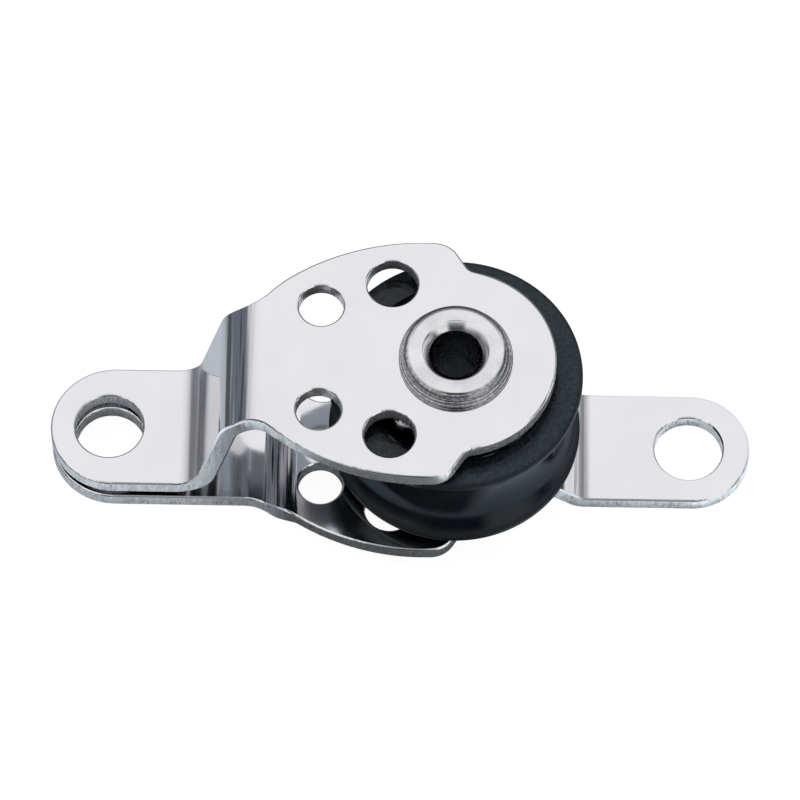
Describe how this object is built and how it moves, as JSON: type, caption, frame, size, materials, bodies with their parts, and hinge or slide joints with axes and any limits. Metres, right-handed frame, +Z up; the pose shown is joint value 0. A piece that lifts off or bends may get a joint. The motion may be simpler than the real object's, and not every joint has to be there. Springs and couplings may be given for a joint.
{
  "type": "cheek block",
  "caption": "Deck cheek block: a black ball-bearing sheave held by bent stainless cheeks on a hollow rivet, with a bolting eye at each end.",
  "frame": {"origin": "midway between the two bolting eyes, on the deck plane that the lugs lie on", "axes": "+X towards the eye of the single lug, +Z up from the deck along the hub, +Y completes the set"},
  "size_m": [0.0615, 0.0226, 0.0196],
  "materials": {
    "plates": "polished stainless sheet with tumbled edges",
    "hub": "turned and polished stainless",
    "races": "ground steel",
    "balls": "polished steel balls",
    "sheave": "satin black moulded plastic"
  },
  "bodies": {
    "frame": {"base_plate": "plates", "top_plate": "plates", "hub_rivet": "hub", "upper_race": "races", "lower_race": "races"},
    "sheave": {"sheave": "sheave"},
    "upper_row": {"ball_upper_01": "balls", "ball_upper_02": "balls", "ball_upper_03": "balls", "ball_upper_04": "balls", "ball_upper_05": "balls", "ball_upper_06": "balls", "ball_upper_07": "balls", "ball_upper_08": "balls", "ball_upper_09": "balls", "ball_upper_10": "balls", "ball_upper_11": "balls", "ball_upper_12": "balls", "ball_upper_13": "balls", "ball_upper_14": "balls", "ball_upper_15": "balls"},
    "lower_row": {"ball_lower_01": "balls", "ball_lower_02": "balls", "ball_lower_03": "balls", "ball_lower_04": "balls", "ball_lower_05": "balls", "ball_lower_06": "balls", "ball_lower_07": "balls", "ball_lower_08": "balls", "ball_lower_09": "balls", "ball_lower_10": "balls", "ball_lower_11": "balls", "ball_lower_12": "balls", "ball_lower_13": "balls", "ball_lower_14": "balls", "ball_lower_15": "balls"}
  },
  "joints": [
    {"name": "sheave_spin", "type": "hinge", "parent": "frame", "child": "sheave", "pos_m": [0.0048, 0, 0.01], "axis": [0, 0, 1], "continuous": true},
    {"name": "upper_row_orbit", "type": "hinge", "parent": "frame", "child": "upper_row", "pos_m": [0.0048, 0, 0.0138], "axis": [0, 0, 1], "continuous": true},
    {"name": "lower_row_orbit", "type": "hinge", "parent": "frame", "child": "lower_row", "pos_m": [0.0048, 0, 0.0062], "axis": [0, 0, 1], "continuous": true}
  ],
  "couplings": [
    {"joint": "upper_row_orbit", "follows": "sheave_spin", "ratio": 0.6},
    {"joint": "lower_row_orbit", "follows": "sheave_spin", "ratio": 0.6}
  ]
}
